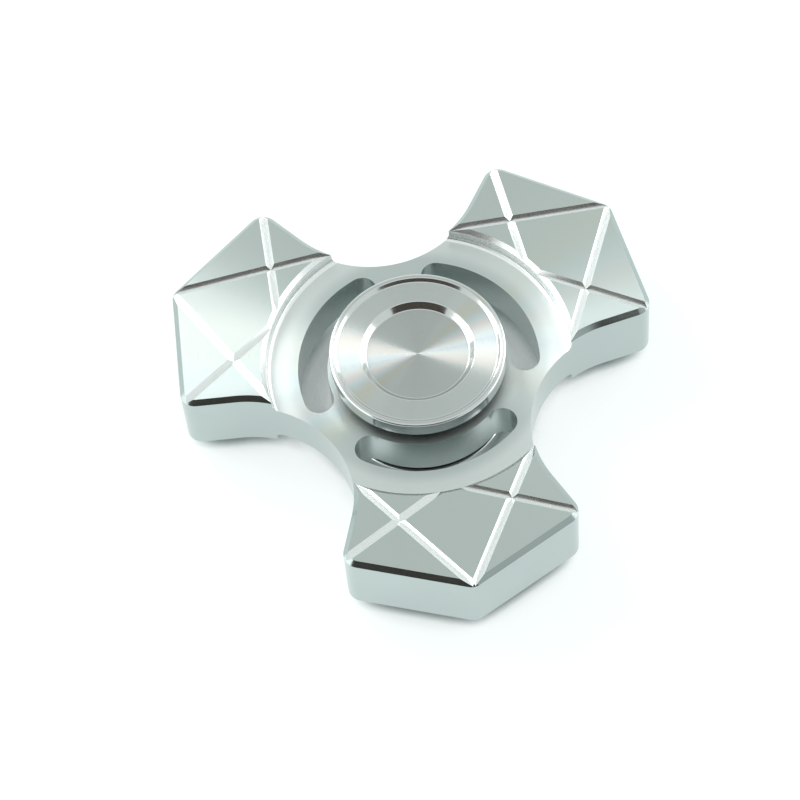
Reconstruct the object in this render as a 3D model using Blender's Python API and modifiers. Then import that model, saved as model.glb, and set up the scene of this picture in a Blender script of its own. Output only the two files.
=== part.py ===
"""Three-armed metal fidget spinner with screwed finger caps and a ball bearing.

Units are metres, +Z is up along the spin axis, and the origin is the point
where the spin axis crosses the middle plane of the spinning body. One arm
points along -Y. The two finger caps screw together through the bearing's
inner race, so the body turns between them.
"""

import math

import bmesh
import bpy
from mathutils import Matrix, Vector

MM = 0.001
OBJECT_NAME = "fidget_spinner"

# Spinning body, in millimetres: a star plate of three five-sided arms.
ARM_COUNT = 3
FIRST_ARM_DEG = -90.0
ARM_THICKNESS = 10.1
TIP_RADIUS = 32.7
SHOULDER_ALONG = 25.95
SHOULDER_ACROSS = 15.05
TIP_ROUND = 1.6
SHOULDER_ROUND = 1.3
WAIST_RADIUS = 15.2
SCOOP_RADIUS = 13.7
EDGE_CHAMFER = 0.6

# Ring that carries the bearing: turned lower than the arms on both faces.
RING_THICKNESS = 5.9
STEP_RADIUS = 19.1
STEP_CHAMFER = 0.5
STEP_FILLET = 0.75
SLOT_INNER_RADIUS = 11.4
SLOT_OUTER_RADIUS = 15.1
SLOT_END_DEG = 39.0

# Engraved V-grooves on both faces of each arm.
GROOVE_WIDTH = 1.05
GROOVE_CORNER_ALONG = 15.9
GROOVE_CORNER_ACROSS = 10.9
GROOVE_MEET_ALONG = 18.4
GROOVE_OVERRUN = 0.5
GROOVE_LIFT = 0.4

# Inch-size miniature ball bearing, 1/4 by 1/2 by 3/16 inch.
BEARING_BORE = 6.35
BEARING_OUTER = 12.7
BEARING_WIDTH = 4.762
BALL_COUNT = 10
BALL_DIAMETER = 1.5875
PITCH_RADIUS = 4.7625
RACE_CLEARANCE = 0.06
INNER_SHOULDER_RADIUS = 4.1
OUTER_SHOULDER_RADIUS = 5.42
SHIELD_SEAT_RADIUS = 6.0
SHIELD_LIP_RADIUS = 5.85
SHIELD_SEAT_Z = (1.45, 2.15)
SHIELD_Z = (1.5, 1.7)
SHIELD_RADII = (4.2, 5.9)
SNAP_RING_Z = (1.78, 2.05)
SNAP_RING_RADII = (5.5, 5.94)
SNAP_RING_GAP_DEG = 24.0
CAGE_RADII = (4.36, 5.16)
CAGE_Z = (-1.32, 0.45)
BORE_CLEARANCE = 0.1

# Finger caps.
CAP_RADIUS = 11.0
CAP_TOP_Z = 6.85
CAP_EDGE = 0.35
CAP_UNDERSIDE_Z = 4.55
LIP_INNER_RADIUS = 10.34
LIP_DROP = 0.4
DISH_OUTER_RADIUS = 7.2
DISH_FLOOR_RADIUS = 6.35
DISH_DROP = 0.75
BOSS_RADIUS = 3.9
BOSS_GAP = 0.05
POST_RADIUS = 2.0
POST_END_Z = -4.1
SLEEVE_RADIUS = 3.05
SLEEVE_BORE_RADIUS = 2.15
SLEEVE_END_Z = 2.2
SLEEVE_FLOOR_Z = -4.6

# Facets round a full turn.
LARGE_TURN_STEPS = 64
CAP_TURN_STEPS = 48
BEARING_TURN_STEPS = 40
MERGE_DISTANCE = 0.00001
CUTTER_OVERRUN = 1.0


# ---------------------------------------------------------------- scene set-up

def clear_scene():
    """Remove every object, so that the script can run again in one session."""
    for obj in list(bpy.data.objects):
        bpy.data.objects.remove(obj, do_unlink=True)


def make_collection(name):
    collection = bpy.data.collections.new(name)
    bpy.context.scene.collection.children.link(collection)
    return collection


def make_material(name, colour, roughness, metallic=1.0):
    material = bpy.data.materials.new(name)
    material.use_nodes = True
    shader = material.node_tree.nodes["Principled BSDF"]
    shader.inputs["Base Color"].default_value = (*colour, 1.0)
    shader.inputs["Roughness"].default_value = roughness
    shader.inputs["Metallic"].default_value = metallic
    return material


def add_object(name, data, collection, material=None):
    obj = bpy.data.objects.new(name, data)
    collection.objects.link(obj)
    if material:
        obj.data.materials.append(material)
    return obj


def mark_cutter(obj):
    obj.hide_render = True
    obj.display_type = "WIRE"
    return obj


# ------------------------------------------------------------ plane geometry

def polar(radius, angle_deg):
    angle = math.radians(angle_deg)
    return Vector((radius * math.cos(angle), radius * math.sin(angle)))


def arc_points(centre, radius, start_deg, end_deg, steps):
    """Points on an arc, both ends included."""
    turn = (end_deg - start_deg) / steps
    return [centre + polar(radius, start_deg + turn * i) for i in range(steps + 1)]


def rounded_corner(before, corner, after, radius, steps):
    """Arc that rounds a corner between two straight edges."""
    to_before = (before - corner).normalized()
    to_after = (after - corner).normalized()
    half_angle = to_before.angle(to_after) / 2.0
    centre = corner + (to_before + to_after).normalized() * (radius / math.sin(half_angle))
    reach = radius / math.tan(half_angle)
    start = corner + to_before * reach - centre
    end = corner + to_after * reach - centre
    start_deg = math.degrees(math.atan2(start.y, start.x))
    sweep = math.degrees(start.angle(end))
    if start.x * end.y - start.y * end.x < 0.0:
        sweep = -sweep
    return arc_points(centre, radius, start_deg, start_deg + sweep, steps)


def scoop_centre():
    """Centre of the round scoop beside the arm along +X, 60 degrees round."""
    return polar(WAIST_RADIUS + SCOOP_RADIUS, 180.0 / ARM_COUNT)


def scoop_tangent(shoulder):
    """Where the straight flank from the shoulder runs into the scoop."""
    from_centre = shoulder - scoop_centre()
    lean = math.degrees(math.acos(SCOOP_RADIUS / from_centre.length))
    towards = math.degrees(math.atan2(from_centre.y, from_centre.x))
    return scoop_centre() + polar(SCOOP_RADIUS, towards - lean)


def arm_and_scoop_points():
    """Outline of the arm along +X and of the scoop after it, anticlockwise."""
    tip = Vector((TIP_RADIUS, 0.0))
    left = Vector((SHOULDER_ALONG, SHOULDER_ACROSS))
    right = Vector((SHOULDER_ALONG, -SHOULDER_ACROSS))
    left_flank = scoop_tangent(left)
    right_flank = Vector((left_flank.x, -left_flank.y))
    points = rounded_corner(right_flank, right, tip, SHOULDER_ROUND, 5)
    points += rounded_corner(right, tip, left, TIP_ROUND, 3)
    points += rounded_corner(tip, left, left_flank, SHOULDER_ROUND, 5)
    half_turn = 180.0 / ARM_COUNT
    start = left_flank - scoop_centre()
    start_deg = math.degrees(math.atan2(start.y, start.x)) % 360.0
    middle_deg = 180.0 + half_turn
    points += arc_points(scoop_centre(), SCOOP_RADIUS, start_deg, 2.0 * middle_deg - start_deg, 16)
    return points


def body_outline():
    arm = arm_and_scoop_points()
    outline = []
    for index in range(ARM_COUNT):
        turn = Matrix.Rotation(math.radians(arm_angle(index)), 2)
        outline += [turn @ point for point in arm]
    return outline


def arm_angle(index):
    return FIRST_ARM_DEG + 360.0 / ARM_COUNT * index


def slot_outline(middle_deg):
    """Arc slot with full round ends, anticlockwise."""
    centre_radius = (SLOT_INNER_RADIUS + SLOT_OUTER_RADIUS) / 2.0
    half_width = (SLOT_OUTER_RADIUS - SLOT_INNER_RADIUS) / 2.0
    start = middle_deg - SLOT_END_DEG
    end = middle_deg + SLOT_END_DEG
    origin = Vector((0.0, 0.0))
    points = arc_points(origin, SLOT_OUTER_RADIUS, start, end, 12)
    points += arc_points(polar(centre_radius, end), half_width, end, end + 180.0, 8)[1:-1]
    points += arc_points(origin, SLOT_INNER_RADIUS, end, start, 12)
    points += arc_points(polar(centre_radius, start), half_width, start + 180.0, start + 360.0, 8)[1:-1]
    return points


# ------------------------------------------------------------- solid builders

def plate(name, outlines, thickness, collection, material=None, middle_z=0.0):
    """Flat plate cut to one or more closed outlines, as a welded mesh."""
    curve = bpy.data.curves.new(name, "CURVE")
    curve.dimensions = "2D"
    curve.fill_mode = "BOTH"
    curve.extrude = thickness * MM / 2.0
    for outline in outlines:
        spline = curve.splines.new("POLY")
        spline.points.add(len(outline) - 1)
        for point, place in zip(spline.points, outline):
            point.co = (place.x * MM, place.y * MM, 0.0, 1.0)
        spline.use_cyclic_u = True
    draft = add_object(name + "_draft", curve, collection)
    draft.location.z = middle_z * MM
    bpy.context.view_layer.update()
    evaluated = draft.evaluated_get(bpy.context.evaluated_depsgraph_get())
    mesh = bpy.data.meshes.new_from_object(evaluated)
    mesh.name = name
    place = draft.matrix_world.copy()
    bpy.data.objects.remove(draft, do_unlink=True)
    tidy_mesh(mesh)
    obj = add_object(name, mesh, collection, material)
    obj.matrix_world = place
    return obj


def tidy_mesh(mesh):
    """Weld the loose caps, join coplanar triangles and point faces outwards."""
    shape = bmesh.new()
    shape.from_mesh(mesh)
    bmesh.ops.remove_doubles(shape, verts=shape.verts, dist=MERGE_DISTANCE)
    bmesh.ops.dissolve_limit(
        shape, angle_limit=math.radians(0.5), verts=shape.verts, edges=shape.edges)
    bmesh.ops.recalc_face_normals(shape, faces=shape.faces)
    shape.to_mesh(mesh)
    shape.free()


def turned(name, profile, steps, collection, material=None, closed=False):
    """Solid of revolution about Z. The profile runs down its outer side."""
    mesh = bpy.data.meshes.new(name)
    corners = [(radius * MM, 0.0, height * MM) for radius, height in profile]
    edges = [(i, i + 1) for i in range(len(corners) - 1)]
    if closed:
        edges.append((len(corners) - 1, 0))
    mesh.from_pydata(corners, edges, [])
    obj = add_object(name, mesh, collection, material)
    screw = obj.modifiers.new("Turn", "SCREW")
    screw.axis = "Z"
    screw.angle = math.radians(360.0)
    screw.steps = steps
    screw.render_steps = steps
    screw.use_merge_vertices = True
    screw.merge_threshold = MERGE_DISTANCE
    screw.use_smooth_shade = False
    return obj


def cut(obj, cutter, name, solver="EXACT"):
    boolean = obj.modifiers.new(name, "BOOLEAN")
    boolean.operation = "DIFFERENCE"
    boolean.solver = solver
    boolean.object = cutter


def quarter_arc(centre, radius, start_deg, end_deg, steps):
    """Profile points on a small arc, as (radius, height) pairs."""
    points = arc_points(Vector(centre), radius, start_deg, end_deg, steps)
    return [(point.x, point.y) for point in points]


# ------------------------------------------------------------- spinning body

def ring_cutter(side, collection):
    """Turned cutter that sinks the ring face: chamfer, wall, fillet and face."""
    half_arm = ARM_THICKNESS / 2.0
    half_ring = RING_THICKNESS / 2.0
    top = half_arm + CUTTER_OVERRUN
    flare = STEP_RADIUS + STEP_CHAMFER + CUTTER_OVERRUN
    profile = [(0.0, top), (flare, top), (STEP_RADIUS, half_arm - STEP_CHAMFER)]
    fillet_centre = (STEP_RADIUS - STEP_FILLET, half_ring + STEP_FILLET)
    profile += quarter_arc(fillet_centre, STEP_FILLET, 0.0, -90.0, 3)
    profile += [(0.0, half_ring)]
    if side < 0:
        profile = [(radius, -height) for radius, height in reversed(profile)]
    name = "ring_cutter_top" if side > 0 else "ring_cutter_bottom"
    return mark_cutter(turned(name, profile, LARGE_TURN_STEPS, collection))


def bore_cutter(collection):
    reach = ARM_THICKNESS
    radius = BEARING_OUTER / 2.0 + BORE_CLEARANCE
    profile = [(0.0, reach), (radius, reach), (radius, -reach), (0.0, -reach)]
    return mark_cutter(turned("bearing_bore_cutter", profile, LARGE_TURN_STEPS, collection))


def slot_cutter(collection):
    outlines = [slot_outline(arm_angle(index)) for index in range(ARM_COUNT)]
    return mark_cutter(plate("slot_cutter", outlines, ARM_THICKNESS, collection))


def groove_prism(shape, start, end, face_z, side):
    """Add one V-shaped prism along a line on an arm's face to a bmesh."""
    direction = (end - start).normalized()
    first = start - direction * GROOVE_OVERRUN
    last = end + direction * GROOVE_OVERRUN
    middle = (first + last) / 2.0
    half_width = GROOVE_WIDTH / 2.0 + GROOVE_LIFT
    made = bmesh.ops.create_cone(
        shape, cap_ends=True, segments=4, radius1=half_width * MM, radius2=half_width * MM,
        depth=(last - first).length * MM)
    upright = Matrix.Rotation(math.radians(90.0), 4, "Y")
    heading = Matrix.Rotation(math.atan2(direction.y, direction.x), 4, "Z")
    lift = face_z + side * GROOVE_LIFT
    place = Matrix.Translation(Vector((middle.x, middle.y, lift)) * MM)
    bmesh.ops.transform(shape, matrix=place @ heading @ upright, verts=made["verts"])


def groove_cutter(name, start, end, collection):
    """The same groove on both faces of every arm, as separate prisms."""
    shape = bmesh.new()
    for index in range(ARM_COUNT):
        turn = Matrix.Rotation(math.radians(arm_angle(index)), 2)
        for side in (1, -1):
            groove_prism(shape, turn @ start, turn @ end, side * ARM_THICKNESS / 2.0, side)
    mesh = bpy.data.meshes.new(name)
    shape.to_mesh(mesh)
    shape.free()
    return mark_cutter(add_object(name, mesh, collection))


def make_spinner_body(parts, cutters):
    steel = make_material("machined_steel", (0.56, 0.59, 0.58), 0.22)
    body = plate("spinner_body", [body_outline()], ARM_THICKNESS, parts, steel)
    chamfer = body.modifiers.new("Edge chamfer", "BEVEL")
    chamfer.width = EDGE_CHAMFER * MM
    chamfer.segments = 1
    chamfer.limit_method = "ANGLE"
    chamfer.angle_limit = math.radians(60.0)
    chamfer.use_clamp_overlap = False
    tip = Vector((TIP_RADIUS, 0.0))
    meet = Vector((GROOVE_MEET_ALONG, 0.0))
    for side, word in ((1, "left"), (-1, "right")):
        inner_corner = Vector((GROOVE_CORNER_ALONG, side * GROOVE_CORNER_ACROSS))
        shoulder = Vector((SHOULDER_ALONG, side * SHOULDER_ACROSS))
        long_groove = groove_cutter("tip_groove_" + word, tip, inner_corner, cutters)
        cut(body, long_groove, "Tip groove " + word, "MANIFOLD")
        short_groove = groove_cutter("shoulder_groove_" + word, meet, shoulder, cutters)
        cut(body, short_groove, "Shoulder groove " + word, "MANIFOLD")
    cut(body, ring_cutter(1, cutters), "Top ring face", "MANIFOLD")
    cut(body, ring_cutter(-1, cutters), "Bottom ring face", "MANIFOLD")
    cut(body, slot_cutter(cutters), "Arc slots", "MANIFOLD")
    cut(body, bore_cutter(cutters), "Bearing bore", "MANIFOLD")
    return body


# -------------------------------------------------------------------- bearing

def make_outer_race(parts):
    """Outer race with its ball groove and the two stepped shield seats."""
    steel = make_material("outer_race_steel", (0.50, 0.51, 0.52), 0.2)
    outside = BEARING_OUTER / 2.0
    top = BEARING_WIDTH / 2.0
    seat_low, seat_high = SHIELD_SEAT_Z
    groove_radius = BALL_DIAMETER / 2.0 + RACE_CLEARANCE
    edge = OUTER_SHOULDER_RADIUS - PITCH_RADIUS
    lean = math.degrees(math.acos(edge / groove_radius))
    groove = quarter_arc((PITCH_RADIUS, 0.0), groove_radius, -lean, lean, 6)
    profile = [(outside, top), (outside, -top), (SHIELD_LIP_RADIUS, -top)]
    profile += [(SHIELD_LIP_RADIUS, -seat_high), (SHIELD_SEAT_RADIUS, -seat_high)]
    profile += [(SHIELD_SEAT_RADIUS, -seat_low), (OUTER_SHOULDER_RADIUS, -seat_low)]
    profile += groove
    profile += [(OUTER_SHOULDER_RADIUS, seat_low), (SHIELD_SEAT_RADIUS, seat_low)]
    profile += [(SHIELD_SEAT_RADIUS, seat_high), (SHIELD_LIP_RADIUS, seat_high)]
    profile += [(SHIELD_LIP_RADIUS, top)]
    return turned("bearing_outer_race", profile, BEARING_TURN_STEPS, parts, steel, closed=True)


def make_inner_race(parts):
    steel = make_material("inner_race_steel", (0.50, 0.51, 0.52), 0.18)
    bore = BEARING_BORE / 2.0
    top = BEARING_WIDTH / 2.0
    groove_radius = BALL_DIAMETER / 2.0 + RACE_CLEARANCE
    edge = PITCH_RADIUS - INNER_SHOULDER_RADIUS
    lean = math.degrees(math.acos(edge / groove_radius))
    groove = quarter_arc((PITCH_RADIUS, 0.0), groove_radius, 180.0 - lean, 180.0 + lean, 6)
    profile = [(INNER_SHOULDER_RADIUS, top)]
    profile += groove
    profile += [(INNER_SHOULDER_RADIUS, -top), (bore, -top), (bore, top)]
    return turned("bearing_inner_race", profile, BEARING_TURN_STEPS, parts, steel, closed=True)


def ball_angle(index):
    return 360.0 / BALL_COUNT * index


def make_balls(parts, cage_pivot):
    """Ten balls, each with its origin at its own centre on the pitch circle."""
    steel = make_material("ball_steel", (0.62, 0.63, 0.64), 0.08)
    for index in range(BALL_COUNT):
        name = f"bearing_ball_{index + 1:02d}"
        mesh = bpy.data.meshes.new(name)
        shape = bmesh.new()
        bmesh.ops.create_uvsphere(
            shape, u_segments=14, v_segments=8, radius=BALL_DIAMETER / 2.0 * MM)
        shape.to_mesh(mesh)
        shape.free()
        mesh.shade_smooth()
        ball = add_object(name, mesh, parts, steel)
        ball.parent = cage_pivot
        place = polar(PITCH_RADIUS, ball_angle(index)) * MM
        ball.location = (place.x, place.y, 0.0)


def make_ball_cage(parts, cutters, cage_pivot):
    """Crown cage: a ring under the balls with a cup round each of them."""
    steel = make_material("cage_steel", (0.45, 0.45, 0.44), 0.35)
    inner, outer = CAGE_RADII
    low, high = CAGE_Z
    profile = [(outer, high), (outer, low), (inner, low), (inner, high)]
    cage = turned("bearing_ball_cage", profile, BEARING_TURN_STEPS, parts, steel, closed=True)
    shape = bmesh.new()
    pocket_radius = (BALL_DIAMETER / 2.0 + RACE_CLEARANCE) * MM
    for index in range(BALL_COUNT):
        centre = polar(PITCH_RADIUS, ball_angle(index)) * MM
        place = Matrix.Translation((centre.x, centre.y, 0.0))
        bmesh.ops.create_uvsphere(
            shape, u_segments=12, v_segments=8, radius=pocket_radius, matrix=place)
    mesh = bpy.data.meshes.new("cage_pocket_cutter")
    shape.to_mesh(mesh)
    shape.free()
    pockets = mark_cutter(add_object("cage_pocket_cutter", mesh, cutters))
    cut(cage, pockets, "Ball pockets")
    cage.parent = cage_pivot


def make_shields(parts):
    """Pressed shield washer and the open snap ring that holds it, each side."""
    shield_steel = make_material("shield_steel", (0.60, 0.61, 0.62), 0.3)
    ring_steel = make_material("snap_ring_steel", (0.42, 0.43, 0.44), 0.35)
    inner, outer = SHIELD_RADII
    low, high = SHIELD_Z
    ring_low, ring_high = SNAP_RING_Z
    for side, word in ((1, "top"), (-1, "bottom")):
        profile = [(outer, high), (outer, low), (inner, low), (inner, high)]
        if side < 0:
            profile = [(radius, -height) for radius, height in reversed(profile)]
        turned("bearing_shield_" + word, profile, BEARING_TURN_STEPS, parts, shield_steel,
               closed=True)
        plate("shield_snap_ring_" + word, [snap_ring_outline()], ring_high - ring_low, parts,
              ring_steel, middle_z=side * (ring_high + ring_low) / 2.0)


def snap_ring_outline():
    """Open C shape, with its gap towards +X."""
    inner, outer = SNAP_RING_RADII
    start = SNAP_RING_GAP_DEG / 2.0
    end = 360.0 - start
    origin = Vector((0.0, 0.0))
    points = arc_points(origin, outer, start, end, 30)
    return points + arc_points(origin, inner, end, start, 30)


# ---------------------------------------------------------------- finger caps

def cap_face():
    """Top cap's face from its centre outwards and down the rim to the boss."""
    face_z = CAP_TOP_Z - LIP_DROP
    rim = CAP_UNDERSIDE_Z
    return [
        (0.0, face_z - DISH_DROP),
        (DISH_FLOOR_RADIUS, face_z - DISH_DROP),
        (DISH_OUTER_RADIUS, face_z),
        (LIP_INNER_RADIUS - LIP_DROP, face_z),
        (LIP_INNER_RADIUS, CAP_TOP_Z),
        (CAP_RADIUS - CAP_EDGE, CAP_TOP_Z),
        (CAP_RADIUS, CAP_TOP_Z - CAP_EDGE),
        (CAP_RADIUS, rim + CAP_EDGE / 2.0),
        (CAP_RADIUS - CAP_EDGE / 2.0, rim),
        (BOSS_RADIUS, rim),
        (BOSS_RADIUS, BEARING_WIDTH / 2.0 + BOSS_GAP),
    ]


def make_top_cap(parts):
    steel = make_material("top_cap_steel", (0.64, 0.66, 0.66), 0.18)
    post = [(POST_RADIUS, BEARING_WIDTH / 2.0 + BOSS_GAP), (POST_RADIUS, POST_END_Z),
            (0.0, POST_END_Z)]
    return turned("top_finger_cap", cap_face() + post, CAP_TURN_STEPS, parts, steel)


def make_bottom_cap(parts):
    """Mirror of the top cap's face, with the tapped sleeve that takes the post."""
    steel = make_material("bottom_cap_steel", (0.62, 0.64, 0.64), 0.18)
    underside = [(radius, -height) for radius, height in reversed(cap_face())]
    sleeve = [(0.0, SLEEVE_FLOOR_Z), (SLEEVE_BORE_RADIUS, SLEEVE_FLOOR_Z),
              (SLEEVE_BORE_RADIUS, SLEEVE_END_Z), (SLEEVE_RADIUS, SLEEVE_END_Z),
              (SLEEVE_RADIUS, -BEARING_WIDTH / 2.0 - BOSS_GAP)]
    return turned("bottom_finger_cap", sleeve + underside, CAP_TURN_STEPS, parts, steel)


def main():
    clear_scene()
    parts = make_collection(OBJECT_NAME)
    cutters = make_collection(OBJECT_NAME + "_cutters")
    cage_pivot = add_object("cage_pivot", None, parts)
    make_spinner_body(parts, cutters)
    make_outer_race(parts)
    make_inner_race(parts)
    make_balls(parts, cage_pivot)
    make_ball_cage(parts, cutters, cage_pivot)
    make_shields(parts)
    make_top_cap(parts)
    make_bottom_cap(parts)
    for obj in parts.objects:
        if obj.type == "MESH":
            obj.data.set_sharp_from_angle(angle=math.radians(30.0))


main()
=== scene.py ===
import math

import bpy
from mathutils import Matrix, Vector


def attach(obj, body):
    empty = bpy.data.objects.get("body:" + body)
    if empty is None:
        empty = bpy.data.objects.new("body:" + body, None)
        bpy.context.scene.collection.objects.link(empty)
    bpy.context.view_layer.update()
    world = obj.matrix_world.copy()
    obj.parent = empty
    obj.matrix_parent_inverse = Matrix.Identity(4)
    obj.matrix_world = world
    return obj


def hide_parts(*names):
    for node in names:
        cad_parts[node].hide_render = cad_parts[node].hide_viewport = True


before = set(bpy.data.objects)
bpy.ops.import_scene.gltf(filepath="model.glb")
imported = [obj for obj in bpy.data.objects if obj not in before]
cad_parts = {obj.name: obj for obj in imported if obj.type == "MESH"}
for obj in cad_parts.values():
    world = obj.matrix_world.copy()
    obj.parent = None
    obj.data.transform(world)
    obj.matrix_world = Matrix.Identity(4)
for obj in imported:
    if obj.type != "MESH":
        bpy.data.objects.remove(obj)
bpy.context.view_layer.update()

# ------------------------------------------------------------------- camera
# A long lens looks down on the spinner from above its near arm, a little
# round to one side and with a slight tilt of the horizon.

MM = 0.001
CAMERA_DISTANCE = 412.03
CAMERA_LEFT = 2.516
CAMERA_DOWN = 2.924
azimuth = math.radians(-6.384)
elevation = math.radians(59.939)
roll = math.radians(-6.166)
back = Vector((math.sin(azimuth) * math.cos(elevation),
               -math.cos(azimuth) * math.cos(elevation),
               math.sin(elevation)))
level_right = Vector((math.cos(azimuth), math.sin(azimuth), 0.0))
level_up = back.cross(level_right)
right = level_right * math.cos(roll) + level_up * math.sin(roll)
up = level_up * math.cos(roll) - level_right * math.sin(roll)
camera_data = bpy.data.cameras.new("studio_camera")
camera_data.lens = 147.97
camera_data.sensor_width = 36.0
camera_data.clip_start = 0.01
camera_data.clip_end = 20.0
camera = bpy.data.objects.new("studio_camera", camera_data)
bpy.context.scene.collection.objects.link(camera)
stand = back * CAMERA_DISTANCE * MM - right * CAMERA_LEFT * MM - up * CAMERA_DOWN * MM
aim = Matrix((right, up, back)).transposed().to_4x4()
camera.matrix_world = Matrix.Translation(stand) @ aim
bpy.context.scene.camera = camera

# -------------------------------------------------------------- spinner body
# One plate of stainless steel, milled to a star of three five-sided arms.
# The middle is turned lower on both faces, the arms get V-grooves from corner
# to corner, and the ring is lightened by three arc slots round the bearing.

ARM_HALF = 5.05            # half the arms' thickness, in millimetres as all sizes here
RING_HALF = 2.95           # half the ring's thickness
TIP = 32.7                 # how far the pointed tips reach
SHOULDER = (25.95, 15.05)  # an arm's widest corner, along the arm and across it
TIP_CUT = 0.72             # how far a corner's rounding runs back from the tip
SHOULDER_CUT = 1.9         # and from a shoulder
EDGE_CHAMFER = 0.6
WAIST = 15.2               # nearest point of a bay to the spin axis
SCOOP = 13.7               # radius of a bay's round end
INNER_CORNER = (15.9, 10.9)  # where a long groove runs out past the step
GROOVE_MEET = 18.4         # where the short grooves meet on the middle line
GROOVE_CUTTER = 0.925      # half the diagonal of the square cutter
GROOVE_LIFT = 0.4          # how far the cutter's middle stays above the face
STEP = 19.1                # radius of the step down from the arms to the ring
STEP_CHAMFER = 0.5
STEP_FILLET = 0.75
SLOT_INNER = 11.4
SLOT_OUTER = 15.1
SLOT_END = 39.0            # degrees from a slot's middle to its end's centre
BORE = 6.45
RING_DEBURR = 0.32         # the most that a deburring chamfer may take off
SLOT_DEBURR = 0.12
BLANK_RADIUS = 39.0
THROUGH = 8.0              # half the height of a cutter that passes right through
ARM_ANGLES = (-90.0, 30.0, 150.0)


def polar(radius, degrees):
    angle = math.radians(degrees)
    return Vector((radius * math.cos(angle), radius * math.sin(angle)))


def take_up(piece):
    """Make one object the only one selected, and the active one."""
    bpy.ops.object.select_all(action="DESELECT")
    piece.select_set(True)
    bpy.context.view_layer.objects.active = piece


def settle(piece, name):
    """Name a new piece and put its place, turn and scale into its mesh."""
    piece.name = name
    piece.data.name = name
    take_up(piece)
    bpy.ops.object.transform_apply(location=True, rotation=True, scale=True)
    return piece


def round_bar(name, radius, low, high, centre=(0.0, 0.0), corners=64):
    bpy.ops.object.select_all(action="DESELECT")
    bpy.ops.mesh.primitive_cylinder_add(
        vertices=corners, radius=radius * MM, depth=(high - low) * MM,
        location=(centre[0] * MM, centre[1] * MM, (high + low) / 2.0 * MM))
    return settle(bpy.context.object, name)


def choose(piece, level, wanted):
    """Enter edit mode with the verts, edges or faces that a test accepts."""
    take_up(piece)
    bpy.ops.object.mode_set(mode="EDIT")
    bpy.ops.mesh.select_mode(type=level)
    bpy.ops.mesh.select_all(action="DESELECT")
    bpy.ops.object.mode_set(mode="OBJECT")
    mesh = piece.data
    if level == "VERT":
        for vertex in mesh.vertices:
            vertex.select = wanted(vertex.co / MM)
    elif level == "EDGE":
        for edge in mesh.edges:
            first, second = (mesh.vertices[index].co / MM for index in edge.vertices)
            edge.select = wanted(first, second)
    else:
        for face in mesh.polygons:
            face.select = wanted(face.center / MM, face.normal)
    bpy.ops.object.mode_set(mode="EDIT")


def finish_modifier(piece, kind, name, **settings):
    take_up(piece)
    modifier = piece.modifiers.new(name, kind)
    for key, setting in settings.items():
        setattr(modifier, key, setting)
    bpy.ops.object.modifier_apply(modifier=name)


def mill(piece, cutter, solver="MANIFOLD"):
    """Cut one solid out of another, and put the cutter away."""
    finish_modifier(piece, "BOOLEAN", "Cut", operation="DIFFERENCE", solver=solver, object=cutter)
    bpy.data.objects.remove(cutter, do_unlink=True)


def turn_on_lathe(name, profile, steps):
    """Spin a profile of (radius, height) points round Z into a closed solid."""
    bpy.ops.object.select_all(action="DESELECT")
    bpy.ops.mesh.primitive_plane_add(size=0.1 * MM)
    piece = bpy.context.object
    bpy.ops.object.mode_set(mode="EDIT")
    bpy.ops.mesh.select_mode(type="VERT")
    bpy.ops.mesh.select_all(action="SELECT")
    bpy.ops.mesh.merge(type="CENTER")
    bpy.ops.mesh.select_all(action="SELECT")
    last = Vector((0.0, 0.0))
    for index, point in enumerate(profile):
        move = (Vector(point) - last) * MM
        last = Vector(point)
        if index == 0:
            bpy.ops.transform.translate(value=(move.x, 0.0, move.y))
        else:
            bpy.ops.mesh.extrude_region_move(
                TRANSFORM_OT_translate={"value": (move.x, 0.0, move.y)})
    bpy.ops.mesh.select_all(action="SELECT")
    bpy.ops.mesh.spin(steps=steps, angle=math.radians(360.0), center=(0.0, 0.0, 0.0),
                      axis=(0.0, 0.0, 1.0))
    bpy.ops.mesh.select_all(action="SELECT")
    bpy.ops.mesh.remove_doubles(threshold=0.003 * MM)
    bpy.ops.mesh.normals_make_consistent(inside=False)
    bpy.ops.object.mode_set(mode="OBJECT")
    return settle(piece, name)


def arc(centre, radius, start, end, steps):
    """Points of a small profile arc, both ends included."""
    turn = (end - start) / steps
    return [tuple(Vector(centre) + polar(radius, start + turn * i)) for i in range(steps + 1)]


# The blank: a round bar end with the two tip faces of each arm milled flat.
body = round_bar("spinner_body_milled", BLANK_RADIUS, -ARM_HALF, ARM_HALF, corners=96)
tip_lean = math.degrees(math.atan2(TIP - SHOULDER[0], SHOULDER[1]))
for arm in ARM_ANGLES:
    for side in (1, -1):
        facing = polar(1.0, arm + side * tip_lean)
        tip_place = polar(TIP, arm) * MM
        choose(body, "FACE", lambda centre, normal: True)
        bpy.ops.mesh.bisect(plane_co=(tip_place.x, tip_place.y, 0.0),
                            plane_no=(facing.x, facing.y, 0.0),
                            use_fill=True, clear_outer=True)
        bpy.ops.object.mode_set(mode="OBJECT")

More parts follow.
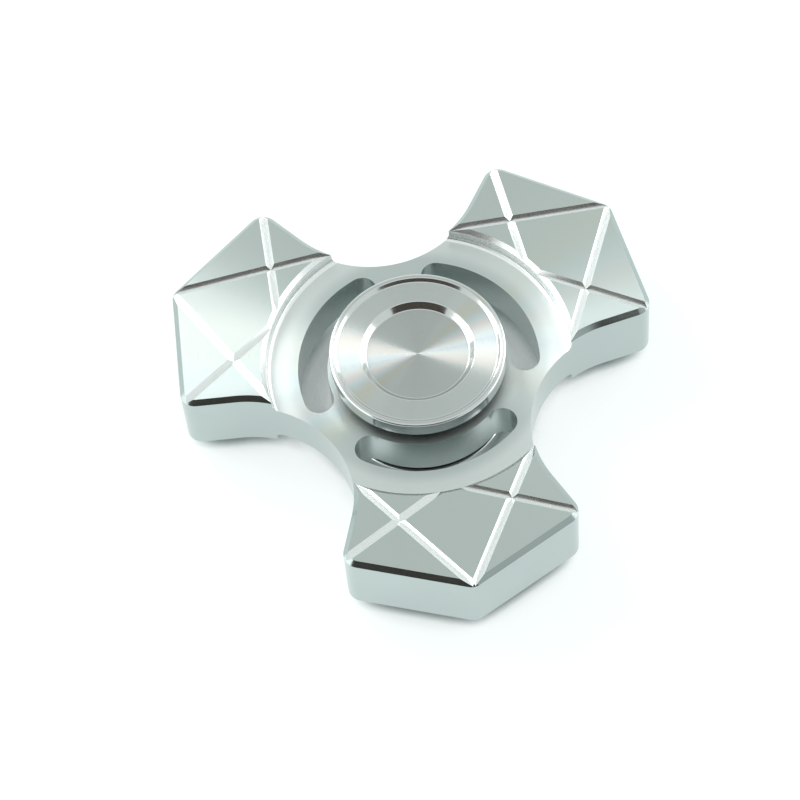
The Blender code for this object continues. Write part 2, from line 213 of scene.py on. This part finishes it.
# The bays between the arms: a round scoop that opens out along two flanks.
bay_centre = Vector((WAIST + SCOOP, 0.0))
shoulder_in_bay = Matrix.Rotation(math.radians(-60.0), 2) @ Vector(SHOULDER)
reach = shoulder_in_bay - bay_centre
lean = math.degrees(math.acos(SCOOP / reach.length))
touch_angle = math.degrees(math.atan2(reach.y, reach.x)) - lean
touch = bay_centre + polar(SCOOP, touch_angle)
flank = (shoulder_in_bay - touch).normalized()
for arm in ARM_ANGLES:
    bay = round_bar("bay_cutter", SCOOP, -THROUGH, THROUGH, centre=bay_centre, corners=256)
    choose(bay, "FACE", lambda centre, normal: True)
    bpy.ops.mesh.bisect(plane_co=(touch.x * MM, 0.0, 0.0), plane_no=(1.0, 0.0, 0.0),
                        use_fill=True, clear_outer=True)
    bpy.ops.object.mode_set(mode="OBJECT")
    choose(bay, "FACE", lambda centre, normal: normal.x > 0.99 and centre.x > touch.x - 0.01)
    run_out = 26.0
    spread = (abs(touch.y) + run_out * abs(flank.y / flank.x)) / abs(touch.y)
    bpy.ops.mesh.extrude_region_move(TRANSFORM_OT_translate={"value": (run_out * MM, 0.0, 0.0)})
    bpy.ops.transform.resize(value=(1.0, spread, 1.0), center_override=(0.0, 0.0, 0.0))
    bpy.ops.mesh.select_all(action="SELECT")
    bpy.ops.mesh.normals_make_consistent(inside=False)
    bpy.ops.object.mode_set(mode="OBJECT")
    bay.rotation_euler.z = math.radians(arm + 60.0)
    settle(bay, "bay_cutter")
    mill(body, bay)

# Rounded tip and shoulder corners, then the 45-degree edge chamfer all round.


def upright_at(radius):
    """Test for the upright edges at one distance from the spin axis."""
    def test(first, second):
        upright = (first.xy - second.xy).length < 0.01
        return upright and abs(first.xy.length - radius) < 0.05
    return test


for radius, offset in ((TIP, TIP_CUT), (Vector(SHOULDER).length, SHOULDER_CUT)):
    choose(body, "EDGE", upright_at(radius))
    bpy.ops.mesh.bevel(offset=offset * MM, offset_type="OFFSET", segments=8, affect="EDGES",
                       clamp_overlap=False)
    bpy.ops.object.mode_set(mode="OBJECT")
finish_modifier(body, "BEVEL", "Edge chamfer", width=EDGE_CHAMFER * MM, segments=1,
                limit_method="ANGLE", angle_limit=math.radians(60.0), use_clamp_overlap=False)

# V-grooves: from the tip to both inner corners, and from both shoulders to
# the arm's middle line, on both faces of every arm.
groove_runs = [
    (Vector((TIP, 0.0)), Vector(INNER_CORNER)),
    (Vector((TIP, 0.0)), Vector((INNER_CORNER[0], -INNER_CORNER[1]))),
    (Vector((GROOVE_MEET, 0.0)), Vector(SHOULDER)),
    (Vector((GROOVE_MEET, 0.0)), Vector((SHOULDER[0], -SHOULDER[1]))),
]
for start, end in groove_runs:
    along = (end - start).normalized()
    bar_start = start - along * 0.5
    bar_end = end + along * 0.5
    bars = []
    for arm in ARM_ANGLES:
        turn = Matrix.Rotation(math.radians(arm), 2)
        middle = turn @ ((bar_start + bar_end) / 2.0)
        heading = turn @ along
        for side in (1, -1):
            bpy.ops.object.select_all(action="DESELECT")
            bpy.ops.mesh.primitive_cylinder_add(
                vertices=4, radius=GROOVE_CUTTER * MM, depth=(bar_end - bar_start).length * MM,
                location=(middle.x * MM, middle.y * MM, side * (ARM_HALF + GROOVE_LIFT) * MM),
                rotation=(0.0, math.radians(90.0), math.atan2(heading.y, heading.x)))
            bars.append(settle(bpy.context.object, "groove_cutter"))
    bpy.ops.object.select_all(action="DESELECT")
    for bar in bars:
        bar.select_set(True)
    bpy.context.view_layer.objects.active = bars[0]
    bpy.ops.object.join()
    mill(body, bars[0])

# The lower ring faces: chamfer at the arm's face, upright step, small fillet.
for side in (1, -1):
    profile = [(0.0, ARM_HALF + 1.0), (STEP + STEP_CHAMFER + 1.0, ARM_HALF + 1.0),
               (STEP, ARM_HALF - STEP_CHAMFER)]
    profile += arc((STEP - STEP_FILLET, RING_HALF + STEP_FILLET), STEP_FILLET, 0.0, -90.0, 10)
    profile += [(0.0, RING_HALF)]
    profile = [(radius, side * height) for radius, height in profile]
    mill(body, turn_on_lathe("ring_cutter", profile, 240))

# Arc slots with full round ends, and the bore for the bearing. Half a slot is
# a half-round end swept back to the middle, and a mirror gives the other half.
slot_middle = (SLOT_INNER + SLOT_OUTER) / 2.0
slot_half = (SLOT_OUTER - SLOT_INNER) / 2.0
for arm in ARM_ANGLES:
    slot = round_bar("slot_cutter", slot_half, -6.0, 6.0, centre=(slot_middle, 0.0), corners=48)
    choose(slot, "FACE", lambda centre, normal: True)
    bpy.ops.mesh.bisect(plane_co=(0.0, 0.0, 0.0), plane_no=(0.0, 1.0, 0.0), clear_inner=True)
    bpy.ops.object.mode_set(mode="OBJECT")
    slot.rotation_euler.z = math.radians(SLOT_END)
    settle(slot, "slot_cutter")
    tangent = polar(1.0, SLOT_END + 90.0)
    choose(slot, "EDGE", lambda first, second: (
        abs(first.xy @ tangent) < 0.001 and abs(second.xy @ tangent) < 0.001))
    bpy.ops.mesh.spin(steps=30, angle=math.radians(SLOT_END), center=(0.0, 0.0, 0.0),
                      axis=(0.0, 0.0, 1.0))
    bpy.ops.object.mode_set(mode="OBJECT")
    choose(slot, "VERT", lambda place: abs(place.y) < 0.01)
    bpy.ops.transform.resize(value=(1.0, 0.0, 1.0), center_override=(0.0, 0.0, 0.0))
    bpy.ops.object.mode_set(mode="OBJECT")
    finish_modifier(slot, "MIRROR", "Other half", use_axis=(False, True, False),
                    merge_threshold=0.003 * MM)
    choose(slot, "FACE", lambda centre, normal: True)
    bpy.ops.mesh.remove_doubles(threshold=0.003 * MM)
    bpy.ops.mesh.normals_make_consistent(inside=False)
    bpy.ops.object.mode_set(mode="OBJECT")
    slot.rotation_euler.z = math.radians(arm)
    settle(slot, "slot_cutter")
    mill(body, slot)
mill(body, round_bar("bore_cutter", BORE, -THROUGH, THROUGH, corners=160))

# Deburring round the slots and along the ring's scooped edge. Short edges left
# by the cuts clamp these chamfers, so they come out narrower than 0.03 mm.
choose(body, "FACE", lambda centre, normal: True)
bpy.ops.mesh.remove_doubles(threshold=0.002 * MM)
bpy.ops.mesh.dissolve_limited(angle_limit=math.radians(0.3))
bpy.ops.object.mode_set(mode="OBJECT")


def on_ring_face(first, second, inner, outer):
    level = abs(abs(first.z) - RING_HALF) < 0.003 and abs(abs(second.z) - RING_HALF) < 0.003
    radius = ((first + second) / 2.0).xy.length
    return level and inner < radius < outer


choose(body, "EDGE", lambda first, second: on_ring_face(first, second, 15.15, 18.33))
bpy.ops.mesh.bevel(offset=RING_DEBURR * MM, offset_type="OFFSET", segments=1, affect="EDGES",
                   clamp_overlap=True)
bpy.ops.object.mode_set(mode="OBJECT")
choose(body, "EDGE", lambda first, second: on_ring_face(first, second, 11.3, 15.13))
bpy.ops.mesh.bevel(offset=SLOT_DEBURR * MM, offset_type="OFFSET", segments=1, affect="EDGES",
                   clamp_overlap=True)
bpy.ops.object.mode_set(mode="OBJECT")
SMOOTH_BELOW = math.radians(24.0)
take_up(body)
bpy.ops.object.shade_smooth_by_angle(angle=SMOOTH_BELOW)


class Number:
    """An output socket of a finish, so that sums can be written as sums."""

    def __init__(self, finish, socket):
        self.finish = finish
        self.socket = socket

    def combine(self, operation, *terms):
        return self.finish.add("ShaderNodeMath", {"operation": operation}, list(terms))

    def __add__(self, other):
        return self.combine("ADD", self, other)

    __radd__ = __add__

    def __sub__(self, other):
        return self.combine("SUBTRACT", self, other)

    def __rsub__(self, other):
        return self.combine("SUBTRACT", other, self)

    def __mul__(self, other):
        return self.combine("MULTIPLY", self, other)

    __rmul__ = __mul__

    def __truediv__(self, other):
        return self.combine("DIVIDE", self, other)

    def __pow__(self, other):
        return self.combine("POWER", self, other)


class Finish:
    """A metal finish: one material and the nodes that make up its surface."""

    def __init__(self, name, metallic=1.0):
        self.material = bpy.data.materials.new(name)
        self.material.use_nodes = True
        self.tree = self.material.node_tree
        self.shader = self.tree.nodes["Principled BSDF"]
        self.shader.inputs["Metallic"].default_value = metallic

    def add(self, kind, settings=None, inputs=None, output=0):
        """Add a node: its settings first, then values or links of its sockets."""
        node = self.tree.nodes.new(kind)
        for key, setting in (settings or {}).items():
            if key == "stops":
                ramp = node.color_ramp
                while len(ramp.elements) < len(setting):
                    ramp.elements.new(0.5)
                for element, (place, colour) in zip(ramp.elements, setting):
                    element.position = place
                    element.color = (*colour, 1.0)
            else:
                setattr(node, key, setting)
        pairs = inputs.items() if isinstance(inputs, dict) else enumerate(inputs or [])
        for key, given in pairs:
            self.connect(node.inputs[key], given)
        return Number(self, node.outputs[output])

    def connect(self, socket, given):
        if isinstance(given, Number):
            self.tree.links.new(given.socket, socket)
        else:
            socket.default_value = given

    def surface(self, **sockets):
        for name, given in sockets.items():
            self.connect(self.shader.inputs[name.replace("_", " ")], given)

    def place(self):
        """Object coordinates across the spin axis in millimetres, as x and y."""
        spot = self.add("ShaderNodeTexCoord", output="Object")
        parts = [self.add("ShaderNodeSeparateXYZ", inputs=[spot], output=i) for i in range(2)]
        return [part * 1000.0 for part in parts]

    def grain(self, vector_scale, scale, detail=2.0):
        """Noise on object coordinates, stretched by a scale for each axis."""
        spot = self.add("ShaderNodeTexCoord", output="Object")
        stretched = self.add("ShaderNodeMapping", inputs={"Vector": spot, "Scale": vector_scale})
        return self.add("ShaderNodeTexNoise", inputs={
            "Vector": stretched, "Scale": scale, "Detail": detail, "Roughness": 0.6})

    def lines(self, number, scale, detail=3.0):
        """Noise along one number only, which gives rings, bands or spokes."""
        return self.add("ShaderNodeTexNoise", {"noise_dimensions": "1D"}, {
            "W": number, "Scale": scale, "Detail": detail, "Roughness": 0.6})

    def mixed(self, share, first, second):
        """One colour blended into another."""
        return self.add("ShaderNodeMix", {"data_type": "RGBA"}, {0: share, 6: first, 7: second},
                        output=2)


def lathe_finish(name, steel, roughness, anisotropy, marks, diffraction_sheen, dish=0.0, rim_highlight=0.0):
    """Steel faced on a lathe: fine rings that fan the light out in spokes.

    The dish share paints shade on the dish of a cap, darkening it towards black,
    and the rim share paints a highlight on the outer part of the ring, blending it
    towards near-white steel.
    """
    finish = Finish(name)
    x, y = finish.place()
    radius = (x * x + y * y) ** 0.5
    angle = finish.add("ShaderNodeMath", {"operation": "ARCTAN2"}, [y, x])
    rings = finish.lines(radius, 9.0, detail=4.0)
    spokes = finish.lines(angle, 5.0, detail=3.0)
    # Painted diffraction sheen: pastel tints that follow the angle round the spin axis.
    half_turn = finish.add("ShaderNodeMath", {"operation": "FRACT"}, [
        angle / math.pi + (spokes - 0.5) * 0.05 + 0.25])
    tint = finish.add("ShaderNodeValToRGB", {"stops": [
        (0.05, (1.00, 1.00, 1.00)), (0.13, (1.00, 0.90, 0.86)), (0.18, (1.00, 0.99, 0.96)),
        (0.23, (0.86, 0.91, 1.00)), (0.28, (0.95, 0.99, 1.00)), (0.32, (1.00, 0.88, 0.87)),
        (0.36, (0.87, 0.95, 1.00)), (0.41, (1.00, 0.94, 0.82)), (0.48, (1.00, 1.00, 1.00))]},
        [half_turn])
    sheen_tinted = finish.add("ShaderNodeMix", {"data_type": "RGBA", "blend_type": "MULTIPLY"},
                        {0: diffraction_sheen, 6: (*steel, 1.0), 7: tint}, output=2)
    darker = tuple(0.86 * part for part in steel)
    rings_tone_and_painted_light = finish.mixed((rings - 0.5) * 0.35 + 0.1, sheen_tinted, (*darker, 1.0))
    if dish:
        # Painted shade: the dish, within 6.5 mm of the axis, is darkened towards black.
        inside = finish.add("ShaderNodeMath", {"operation": "LESS_THAN"}, [radius, 6.5])
        rings_tone_and_painted_light = finish.mixed(inside * dish, rings_tone_and_painted_light, (0.0, 0.0, 0.0, 1.0))
    if rim_highlight:
        # Painted highlight: from 15.2 to 17.2 mm out the colour blends towards near-white steel.
        outside = finish.add("ShaderNodeMapRange", {"interpolation_type": "SMOOTHSTEP"}, {
            "Value": radius, "From Min": 15.2, "From Max": 17.2, "To Min": 0.0, "To Max": rim_highlight})
        rings_tone_and_painted_light = finish.mixed(outside, rings_tone_and_painted_light, (0.97, 1.0, 0.99, 1.0))
    relief = finish.add("ShaderNodeBump", inputs={
        "Height": rings, "Strength": marks, "Distance": 0.00002})
    polish = (rings - 0.5) * 0.12 + (spokes - 0.5) * 0.06 + roughness
    finish.surface(Base_Color=rings_tone_and_painted_light, Roughness=polish, Normal=relief, Anisotropic=anisotropy,
                   Anisotropic_Rotation=0.25)
    return finish.material


def milled_finish(name, steel, roughness):
    """Steel cut by the side of a mill: faint bands along the tool's path."""
    finish = Finish(name)
    bands = finish.grain((1.0, 1.0, 14.0), 260.0, detail=3.0)
    patches = finish.grain((1.0, 1.0, 1.0), 90.0, detail=2.0)
    darker = tuple(0.84 * part for part in steel)
    colour = finish.mixed((patches - 0.42) * 0.5, (*steel, 1.0), (*darker, 1.0))
    relief = finish.add("ShaderNodeBump", inputs={
        "Height": bands, "Strength": 0.12, "Distance": 0.00002})
    polish = (bands - 0.5) * 0.14 + (patches - 0.5) * 0.1 + roughness
    finish.surface(Base_Color=colour, Roughness=polish, Normal=relief)
    return finish.material


def is_level(face):
    return abs(face.normal.z) > 0.995


def slopes(face):
    """True for a face at about 45 degrees, as on a chamfer or a V-groove."""
    return 0.6 < abs(face.normal.z) < 0.8


def in_groove(face):
    """True for the sloping sides of a groove, which lie close to its line."""
    place = (face.center / MM).xy
    if not slopes(face) or place.length > 32.0:
        return False
    for arm in ARM_ANGLES:
        unturn = Matrix.Rotation(math.radians(-arm), 2)
        for start, end in groove_runs:
            along = (end - start).normalized()
            off = unturn @ place - start
            run = off @ along
            square = abs((unturn @ face.normal.xy).normalized() @ along) < 0.05
            beside = -0.3 < run < (end - start).length + 0.8
            if square and beside and (off - along * run).length < 0.6:
                return True
    return False


def on_step(face):
    """True for the turned step and fillet between an arm and the ring."""
    place = face.center / MM
    return RING_HALF < abs(place.z) < ARM_HALF and -1.2 < place.xy.length - STEP < 0.9 and (
        place.xy.normalized() @ face.normal.xy < -0.1)


body.data.materials.clear()
body.data.materials.append(lathe_finish(
    "arm_face_steel", (0.595, 0.655, 0.635), 0.31, 0.9, 0.10, 0.35))
body.data.materials.append(milled_finish("cut_edge_steel", (0.50, 0.565, 0.555), 0.2))
# Painted highlight: the groove sides and the step get near-white steel, standing in for the light
# they catch.
body.data.materials.append(milled_finish("groove_and_step_painted_highlight_steel", (0.95, 0.97, 0.965), 0.27))
# Painted highlight: the ring's outer strip is blended towards near-white steel.
body.data.materials.append(lathe_finish(
    "ring_face_steel", (0.62, 0.68, 0.665), 0.31, 0.9, 0.12, 0.5, rim_highlight=0.45))
# Painted shade: the sloping chamfers get a darker steel, standing in for the dark surroundings
# they reflect.
body.data.materials.append(milled_finish("edge_chamfer_painted_shade_steel", (0.40, 0.46, 0.45), 0.2))
ARM_FACE, CUT_EDGE, HIGHLIGHT_CUT, RING_FACE, SHADED_SLOPING_EDGE = range(5)
for face in body.data.polygons:
    if is_level(face):
        on_ring = abs(face.center.z) / MM < ARM_HALF - 1.0
        face.material_index = RING_FACE if on_ring else ARM_FACE
    elif in_groove(face) or on_step(face):
        face.material_index = HIGHLIGHT_CUT
    else:
        face.material_index = SHADED_SLOPING_EDGE if slopes(face) else CUT_EDGE
body.data.use_auto_texspace = False
body.data.texspace_location = (0.0, 0.0, 0.0)
body.data.texspace_size = (0.033, 0.033, 0.033)
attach(body, "spinner")
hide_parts("spinner_body")

# -------------------------------------------------------------- ball bearing
# A sealed inch-size miniature bearing pressed into the body's bore. Ground
# chrome-steel races run on ten balls, which a pressed crown cage spaces out.


def dress(names, material):
    """Give carried-over nodes their finish on every slot."""
    for name in names:
        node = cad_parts[name]
        if not node.material_slots:
            node.data.materials.append(material)
        for holder in node.material_slots:
            holder.material = material


dress(["bearing_outer_race", "bearing_inner_race"],
      lathe_finish("ground_race_steel", (0.60, 0.61, 0.62), 0.24, 0.6, 0.06, 0.1))


def ball_finish():
    """Lapped steel balls: near mirrors, with a faint haze of oil."""
    finish = Finish("lapped_ball_steel")
    haze = finish.grain((1.0, 1.0, 1.0), 900.0, detail=3.0)
    colour = finish.mixed((haze - 0.4) * 0.6, (0.70, 0.71, 0.72, 1.0), (0.60, 0.60, 0.58, 1.0))
    finish.surface(Base_Color=colour, Roughness=haze * 0.12 + 0.04)
    return finish.material


dress([f"bearing_ball_{index:02d}" for index in range(1, 11)], ball_finish())


def pressed_finish(name, steel, roughness, grain_scale):
    """Thin sheet steel pressed to shape: rolled grain and a few dull spots."""
    finish = Finish(name)
    rolled = finish.grain((1.0, 9.0, 1.0), grain_scale, detail=4.0)
    spots = finish.grain((1.0, 1.0, 1.0), 420.0, detail=2.0)
    darker = tuple(0.75 * part for part in steel)
    colour = finish.mixed((spots - 0.45) * 0.7, (*steel, 1.0), (*darker, 1.0))
    relief = finish.add("ShaderNodeBump", inputs={
        "Height": rolled, "Strength": 0.15, "Distance": 0.00002})
    polish = (rolled - 0.5) * 0.2 + (spots - 0.5) * 0.1 + roughness
    finish.surface(Base_Color=colour, Roughness=polish, Normal=relief)
    return finish.material


dress(["bearing_ball_cage"], pressed_finish("pressed_cage_steel", (0.52, 0.51, 0.49), 0.36, 500.0))

# ---------------------------------------------------- shields and snap rings
# Each side of the bearing is closed by a thin pressed washer, held in its
# groove by an open ring of dark spring wire that snaps in last.

dress(["bearing_shield_top", "bearing_shield_bottom"],
      pressed_finish("shield_sheet_steel", (0.58, 0.59, 0.60), 0.3, 700.0))
dress(["shield_snap_ring_top", "shield_snap_ring_bottom"],
      pressed_finish("dark_spring_steel", (0.30, 0.31, 0.32), 0.38, 900.0))

# --------------------------------------------------------- bottom finger cap
# Turned from bar: a dished face with a raised lip, a short boss that bears on
# the inner race, and a tapped sleeve that passes through the bearing.

CAP_TOP = 6.85             # the lip's top above the middle of the plate
CAP_UNDER = 4.55           # the cap's underside
CAP_RADIUS = 11.0
LIP_INNER = 9.94           # foot of the slope up to the lip
LIP_HEIGHT = 0.4
LIP_ROUND = 0.34
DISH_EDGE = 7.12           # top and foot of the dish's slope
DISH_FOOT = 6.42
DISH_DEPTH = 0.75
UNDER_CHAMFER = 0.18
BOSS_RADIUS = 3.9
RACE_FACE = 2.431          # where a boss meets the inner race
POST_RADIUS = 2.0
POST_END = -4.1
SLEEVE_RADIUS = 3.05       # the sleeve outside, and the hole for the post in it
SLEEVE_HOLE = 2.15
SLEEVE_END = 2.2
HOLE_FLOOR = -4.6


def cap_profile():
    """From the middle of the dish out over the lip and in to the boss."""
    land = CAP_TOP - LIP_HEIGHT
    dish = land - DISH_DEPTH
    points = [(0.0, dish), (3.0, dish), (DISH_FOOT, dish), (DISH_EDGE, land)]
    points += [(LIP_INNER, land), (LIP_INNER + LIP_HEIGHT, CAP_TOP)]
    points += arc((CAP_RADIUS - LIP_ROUND, CAP_TOP - LIP_ROUND), LIP_ROUND, 90.0, 0.0, 6)
    points += [(CAP_RADIUS, CAP_UNDER + UNDER_CHAMFER), (CAP_RADIUS - UNDER_CHAMFER, CAP_UNDER)]
    points += [(BOSS_RADIUS, CAP_UNDER), (BOSS_RADIUS, RACE_FACE)]
    return points


def turned_cap(name, profile):
    """Turn a cap with broken edges: faced flats, painted shade on the underside, polished rest."""
    cap = turn_on_lathe(name, profile, 192)
    finish_modifier(cap, "BEVEL", "Broken edges", width=0.07 * MM, segments=3,
                    limit_method="ANGLE", angle_limit=math.radians(28.0))
    take_up(cap)
    bpy.ops.object.shade_smooth_by_angle(angle=SMOOTH_BELOW)
    finish_modifier(cap, "WEIGHTED_NORMAL", "True flats", weight=90, keep_sharp=True)
    for steel in (faced_cap, polished_cap, shaded_cap):
        cap.data.materials.append(steel)
    for face in cap.data.polygons:
        if abs(face.center.z) / MM < CAP_UNDER + 0.05:
            face.material_index = SHADED
        else:
            face.material_index = FACED if is_level(face) else POLISHED
    return cap


FACED, POLISHED, SHADED = range(3)
# The caps' faces carry painted shade in their dish.
faced_cap = lathe_finish("faced_cap_steel", (0.62, 0.655, 0.64), 0.30, 1.0, 0.12, 0.9,
                         dish=0.14)
polished_cap = milled_finish("polished_cap_steel", (0.74, 0.76, 0.755), 0.12)
# Painted shade: the faces at and below the cap's underside, towards the ring, get near-black
# steel.
shaded_cap = milled_finish("cap_underside_painted_shade_steel", (0.16, 0.15, 0.14), 0.3)
below = [(0.0, HOLE_FLOOR), (SLEEVE_HOLE, HOLE_FLOOR), (SLEEVE_HOLE, SLEEVE_END)]
below += [(SLEEVE_RADIUS, SLEEVE_END), (SLEEVE_RADIUS, -RACE_FACE)]
below += [(radius, -height) for radius, height in reversed(cap_profile())]
bottom_cap = turned_cap("bottom_finger_cap_turned", below)
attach(bottom_cap, "finger_caps")
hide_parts("bottom_finger_cap")

# ------------------------------------------------------------ top finger cap
# The same face as the bottom cap, on a threaded post that screws down into
# the sleeve and clamps the inner race between the two bosses.

above = cap_profile()
above += [(POST_RADIUS, RACE_FACE), (POST_RADIUS, POST_END), (0.0, POST_END)]
top_cap = turned_cap("top_finger_cap_turned", above)
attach(top_cap, "finger_caps")
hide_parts("top_finger_cap")

# -------------------------------------------------------------- studio floor
# A wide sheet of matt white board, on which the bottom cap's lip stands. It
# gives off light of its own, which fades to a shadow close to the metal.

bpy.ops.object.select_all(action="DESELECT")
bpy.ops.mesh.primitive_plane_add(size=6.0, location=(0.0, 0.0, -CAP_TOP * MM))
floor = settle(bpy.context.object, "studio_floor")
board = Finish("white_board", metallic=0.0)
fleck = board.grain((1.0, 1.0, 1.0), 40.0)
shade = board.add("ShaderNodeAmbientOcclusion", {"samples": 16}, {"Distance": 7.5 * MM}, output=1)
clear = board.add("ShaderNodeMapRange", {"interpolation_type": "SMOOTHSTEP"}, {
    "Value": shade, "From Min": 0.28, "From Max": 0.6, "To Min": 0.0, "To Max": 1.0})
glow = board.mixed(clear, (0.03, 0.06, 0.056, 1.0), (0.97, 1.0, 0.995, 1.0))
paper = board.mixed(fleck * 0.2, (0.25, 0.285, 0.28, 1.0), (0.235, 0.265, 0.26, 1.0))
board.surface(Base_Color=paper, Roughness=0.8, Emission_Color=glow, Emission_Strength=0.78)
floor.data.materials.append(board.material)

# -------------------------------------------------------------- studio light
# Two soft boxes stand behind the spinner to the left and right and two low
# panels beside it, in a pale room. A dark screen faces the metal's near side.


def soft_box(name, bearing, height, distance, width, tall, radiance, tint):
    """A rectangular light at a compass bearing and a height in degrees."""
    data = bpy.data.lights.new(name, "AREA")
    data.shape = "RECTANGLE"
    data.size = width
    data.size_y = tall
    data.energy = radiance * math.pi * width * tall
    data.color = tint
    light = bpy.data.objects.new(name, data)
    flat = polar(math.cos(math.radians(height)), bearing)
    place = Vector((flat.x, flat.y, math.sin(math.radians(height)))) * distance
    light.location = place
    light.rotation_euler = place.to_track_quat("Z", "Y").to_euler()
    light.visible_camera = False
    bpy.context.scene.collection.objects.link(light)
    return light


soft_box("left_soft_box", 134.5, 38.0, 0.9, 0.58, 0.45, 5.0, (1.0, 1.0, 1.0))
soft_box("right_soft_box", 29.0, 38.0, 0.9, 0.34, 0.45, 1.65, (1.0, 1.0, 1.0))
soft_box("left_side_panel", 178.0, 15.0, 0.8, 0.9, 0.36, 1.45, (1.0, 1.0, 1.0))
soft_box("right_side_panel", 6.0, 15.0, 0.8, 0.9, 0.36, 1.45, (1.0, 1.0, 1.0))

bpy.ops.object.select_all(action="DESELECT")
screen_place = polar(0.8, 253.0)
bpy.ops.mesh.primitive_plane_add(size=1.0, location=(screen_place.x, screen_place.y, 0.45),
                                 rotation=(math.radians(64.0), 0.0, math.radians(-17.0)))
screen = bpy.context.object
screen.scale = (1.5, 0.74, 1.0)
settle(screen, "dark_screen")
cloth = Finish("dark_cloth", metallic=0.0)
weave = cloth.grain((1.0, 1.0, 1.0), 30.0)
felt = cloth.mixed(weave, (0.035, 0.026, 0.022, 1.0), (0.055, 0.04, 0.032, 1.0))
cloth.surface(Base_Color=felt, Roughness=0.9)
screen.data.materials.append(cloth.material)
screen.visible_camera = False
screen.visible_diffuse = False
screen.visible_shadow = False

room = bpy.data.worlds.new("pale_room")
room.use_nodes = True
room.node_tree.nodes["Background"].inputs["Color"].default_value = (0.74, 0.79, 0.775, 1.0)
room.node_tree.nodes["Background"].inputs["Strength"].default_value = 1.0
bpy.context.scene.world = room
bpy.context.scene.view_settings.view_transform = "Standard"
